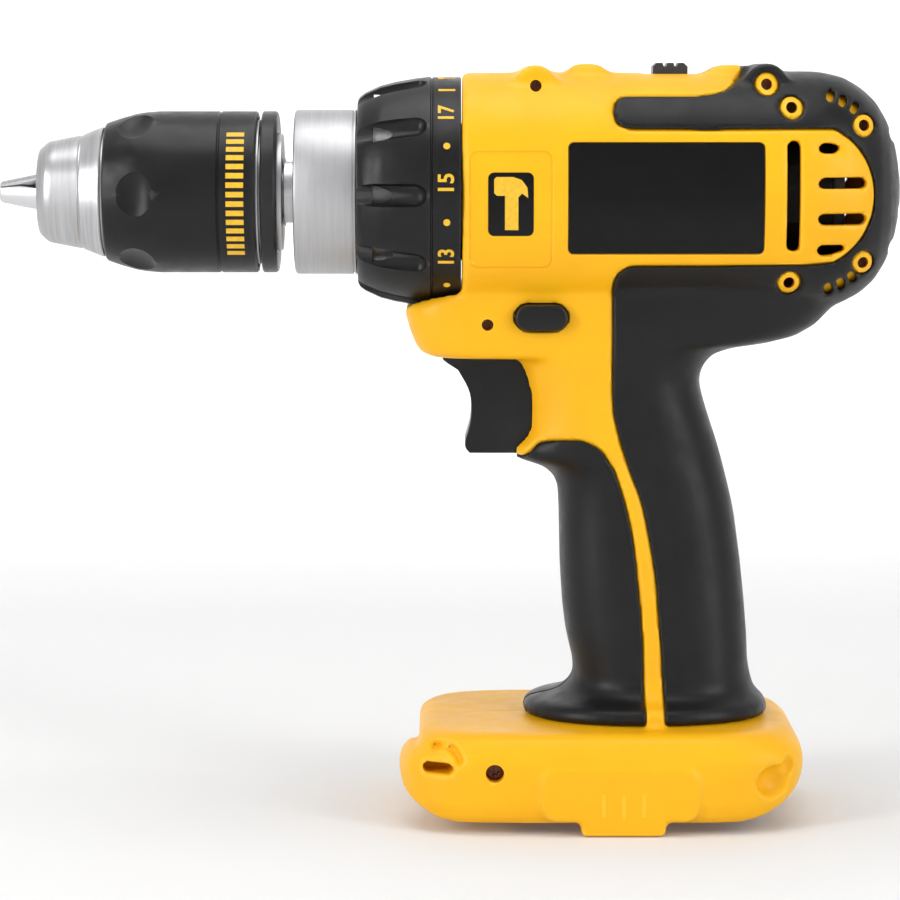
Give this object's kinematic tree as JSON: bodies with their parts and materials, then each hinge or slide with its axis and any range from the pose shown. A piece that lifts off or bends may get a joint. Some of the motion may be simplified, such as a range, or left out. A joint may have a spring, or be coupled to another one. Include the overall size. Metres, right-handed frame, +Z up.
{
  "type": "cordless hammer drill",
  "caption": "Pistol-grip cordless hammer drill with keyless chuck, torque collar, geared motor and rubber grips; open battery well in the foot, no battery fitted.",
  "frame": {"origin": "on the floor, under the middle of the tool's outline", "axes": "+Z up; -X towards the chuck, +X towards the motor end; -Y is the user's left side, which carries the screw heads"},
  "size_m": [0.2478, 0.0844, 0.2081],
  "materials": {
    "yellow_housing": "satin, fine moulded grain",
    "rubber_grip": "matt, soft",
    "nameplate": "gloss label",
    "screw_steel": "dark zinc",
    "black_plastic": "satin",
    "chuck_steel": "fine turned satin",
    "collar_steel": "brushed",
    "gear_steel": "sintered, oiled",
    "spring_steel": "bright wire",
    "magnet": "ferrite",
    "copper": "copper",
    "carbon": "graphite",
    "grey_plastic": "satin",
    "red_lead": "PVC sleeve"
  },
  "bodies": {
    "housing": {"housing_left": "yellow_housing", "housing_right": "yellow_housing", "rear_grip_left": "rubber_grip", "rear_grip_right": "rubber_grip", "front_grip_left": "rubber_grip", "front_grip_right": "rubber_grip", "nameplate_left": "nameplate", "nameplate_right": "nameplate", "screw_top_front": "screw_steel", "screw_top_rear": "screw_steel", "screw_rear_upper": "screw_steel", "screw_rear_lower": "screw_steel", "screw_chin": "screw_steel", "screw_foot": "screw_steel", "gearcase_nose": "collar_steel", "gearcase": "gear_steel", "front_bearing": "gear_steel", "clutch_spring": "spring_steel", "ratchet_fixed": "gear_steel", "ring_gear_fixed": "gear_steel", "motor_can": "gear_steel", "magnet_upper": "magnet", "magnet_lower": "magnet", "brush_holder": "black_plastic", "brush_left": "carbon", "brush_right": "carbon", "switch_module": "black_plastic", "terminal_block": "grey_plastic", "contact_plus": "copper", "contact_minus": "copper", "battery_lead": "red_lead", "motor_lead": "red_lead"},
    "trigger_body": {"trigger": "black_plastic"},
    "direction_body": {"direction_button": "black_plastic"},
    "speed_body": {"speed_selector": "black_plastic", "ring_gear_shifting": "gear_steel"},
    "collar_body": {"clutch_collar": "black_plastic"},
    "clutch_nut_body": {"clutch_nut": "gear_steel"},
    "chuck": {"chuck_body": "chuck_steel", "chuck_rear_ring": "black_plastic", "chuck_screw": "gear_steel", "spindle": "chuck_steel", "ratchet_moving": "gear_steel", "output_carrier": "gear_steel"},
    "sleeve": {"chuck_sleeve": "black_plastic", "chuck_nut": "gear_steel"},
    "jaw_1_body": {"jaw_1": "chuck_steel"},
    "jaw_2_body": {"jaw_2": "chuck_steel"},
    "jaw_3_body": {"jaw_3": "chuck_steel"},
    "input_stage": {"input_carrier": "gear_steel"},
    "rotor": {"armature": "copper", "motor_shaft": "gear_steel", "commutator": "copper", "fan": "black_plastic"},
    "output_planet_1_body": {"output_planet_1": "gear_steel"},
    "input_planet_1_body": {"input_planet_1": "gear_steel"},
    "output_planet_2_body": {"output_planet_2": "gear_steel"},
    "input_planet_2_body": {"input_planet_2": "gear_steel"},
    "output_planet_3_body": {"output_planet_3": "gear_steel"},
    "input_planet_3_body": {"input_planet_3": "gear_steel"}
  },
  "joints": [
    {"name": "trigger_slide", "type": "slide", "parent": "housing", "child": "trigger_body", "axis": [1, 0, 0], "range_m": [0, 0.006], "stiffness_N_per_m": 900, "springref_m": -0.004},
    {"name": "direction_slide", "type": "slide", "parent": "housing", "child": "direction_body", "axis": [0, 1, 0], "range_m": [-0.002, 0.002]},
    {"name": "speed_slide", "type": "slide", "parent": "housing", "child": "speed_body", "axis": [1, 0, 0], "range_m": [0, 0.0065]},
    {"name": "clutch_turn", "type": "hinge", "parent": "housing", "child": "collar_body", "pos_m": [0, 0, 0.1722], "axis": [1, 0, 0], "range_deg": [0, 341]},
    {"name": "clutch_nut_slide", "type": "slide", "parent": "housing", "child": "clutch_nut_body", "axis": [1, 0, 0], "range_m": [-0.0055, 0], "deforming": ["clutch_spring"]},
    {"name": "chuck_spin", "type": "hinge", "parent": "housing", "child": "chuck", "pos_m": [0, 0, 0.1722], "axis": [1, 0, 0], "continuous": true},
    {"name": "sleeve_twist", "type": "hinge", "parent": "chuck", "child": "sleeve", "pos_m": [0, 0, 0.1722], "axis": [1, 0, 0], "range_deg": [0, 1080]},
    {"name": "input_stage_spin", "type": "hinge", "parent": "housing", "child": "input_stage", "pos_m": [0, 0, 0.1722], "axis": [1, 0, 0], "continuous": true},
    {"name": "rotor_spin", "type": "hinge", "parent": "housing", "child": "rotor", "pos_m": [0, 0, 0.1722], "axis": [1, 0, 0], "continuous": true},
    {"name": "jaw_1_slide", "type": "slide", "parent": "chuck", "child": "jaw_1_body", "axis": [0.9703, 0, 0.2419], "range_m": [0, 0.026]},
    {"name": "jaw_2_slide", "type": "slide", "parent": "chuck", "child": "jaw_2_body", "axis": [0.9703, -0.2095, -0.121], "range_m": [0, 0.026]},
    {"name": "jaw_3_slide", "type": "slide", "parent": "chuck", "child": "jaw_3_body", "axis": [0.9703, 0.2095, -0.121], "range_m": [0, 0.026]},
    {"name": "output_planet_1_spin", "type": "hinge", "parent": "chuck", "child": "output_planet_1_body", "pos_m": [0, 0.01333, 0.1722], "axis": [1, 0, 0], "continuous": true},
    {"name": "output_planet_2_spin", "type": "hinge", "parent": "chuck", "child": "output_planet_2_body", "pos_m": [0, -0.00667, 0.18375], "axis": [1, 0, 0], "continuous": true},
    {"name": "output_planet_3_spin", "type": "hinge", "parent": "chuck", "child": "output_planet_3_body", "pos_m": [0, -0.00667, 0.16065], "axis": [1, 0, 0], "continuous": true},
    {"name": "input_planet_1_spin", "type": "hinge", "parent": "input_stage", "child": "input_planet_1_body", "pos_m": [0, 0.01333, 0.1722], "axis": [1, 0, 0], "continuous": true},
    {"name": "input_planet_2_spin", "type": "hinge", "parent": "input_stage", "child": "input_planet_2_body", "pos_m": [0, -0.00667, 0.18375], "axis": [1, 0, 0], "continuous": true},
    {"name": "input_planet_3_spin", "type": "hinge", "parent": "input_stage", "child": "input_planet_3_body", "pos_m": [0, -0.00667, 0.16065], "axis": [1, 0, 0], "continuous": true}
  ],
  "couplings": [
    {"joint": "clutch_nut_slide", "follows": "clutch_turn", "m_per_rad": -0.00090732},
    {"joint": "input_stage_spin", "follows": "chuck_spin", "ratio": 4.6667},
    {"joint": "rotor_spin", "follows": "chuck_spin", "ratio": 21.778},
    {"joint": "jaw_1_slide", "follows": "sleeve_twist", "m_per_rad": 0.001374},
    {"joint": "jaw_2_slide", "follows": "sleeve_twist", "m_per_rad": 0.001374},
    {"joint": "jaw_3_slide", "follows": "sleeve_twist", "m_per_rad": 0.001374},
    {"joint": "output_planet_1_spin", "follows": "chuck_spin", "ratio": -2.75},
    {"joint": "output_planet_2_spin", "follows": "chuck_spin", "ratio": -2.75},
    {"joint": "output_planet_3_spin", "follows": "chuck_spin", "ratio": -2.75},
    {"joint": "input_planet_1_spin", "follows": "chuck_spin", "ratio": -12.833},
    {"joint": "input_planet_2_spin", "follows": "chuck_spin", "ratio": -12.833},
    {"joint": "input_planet_3_spin", "follows": "chuck_spin", "ratio": -12.833}
  ]
}
